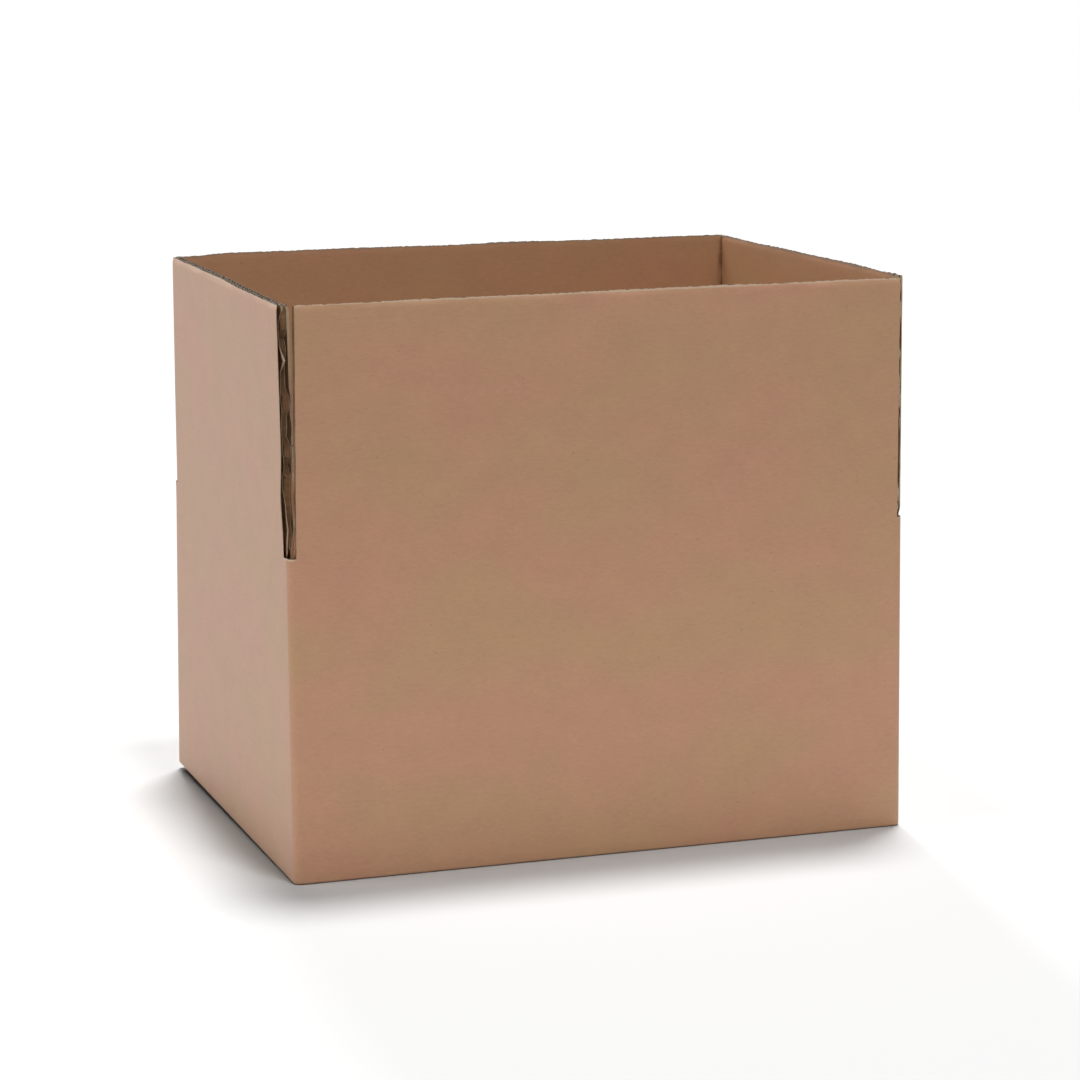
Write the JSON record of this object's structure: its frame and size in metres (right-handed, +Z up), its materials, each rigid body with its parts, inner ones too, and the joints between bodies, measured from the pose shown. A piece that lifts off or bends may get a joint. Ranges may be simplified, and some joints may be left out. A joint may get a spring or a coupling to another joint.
{
  "type": "open cardboard box",
  "caption": "Regular slotted carton of double-wall corrugated board, closed at the bottom, with its top flaps standing open and hinged on their creases.",
  "frame": {"origin": "middle of the base, on the face that rests on the ground", "axes": "+Z up; +X along the long panels; +Y along the short panels, with the panel that the picture shows in front facing -Y"},
  "size_m": [0.42, 0.319, 0.3708],
  "materials": {
    "kraft_board": "matt brown kraft paper with fine fibres and faint mottling, unprinted"
  },
  "bodies": {
    "carton": {"carton": "kraft_board"},
    "front_flap": {"front_flap": "kraft_board"},
    "back_flap": {"back_flap": "kraft_board"},
    "left_flap": {"left_flap": "kraft_board"},
    "right_flap": {"right_flap": "kraft_board"}
  },
  "joints": [
    {"name": "front_flap_fold", "type": "hinge", "parent": "carton", "child": "front_flap", "pos_m": [0, -0.1595, 0.2153], "axis": [1, 0, 0], "range_deg": [-90, 170]},
    {"name": "back_flap_fold", "type": "hinge", "parent": "carton", "child": "back_flap", "pos_m": [0, 0.1595, 0.2153], "axis": [-1, 0, 0], "range_deg": [-90, 170]},
    {"name": "left_flap_fold", "type": "hinge", "parent": "carton", "child": "left_flap", "pos_m": [-0.21, 0, 0.208], "axis": [0, -1, 0], "range_deg": [-90, 170]},
    {"name": "right_flap_fold", "type": "hinge", "parent": "carton", "child": "right_flap", "pos_m": [0.21, 0, 0.208], "axis": [0, 1, 0], "range_deg": [-90, 170]}
  ]
}
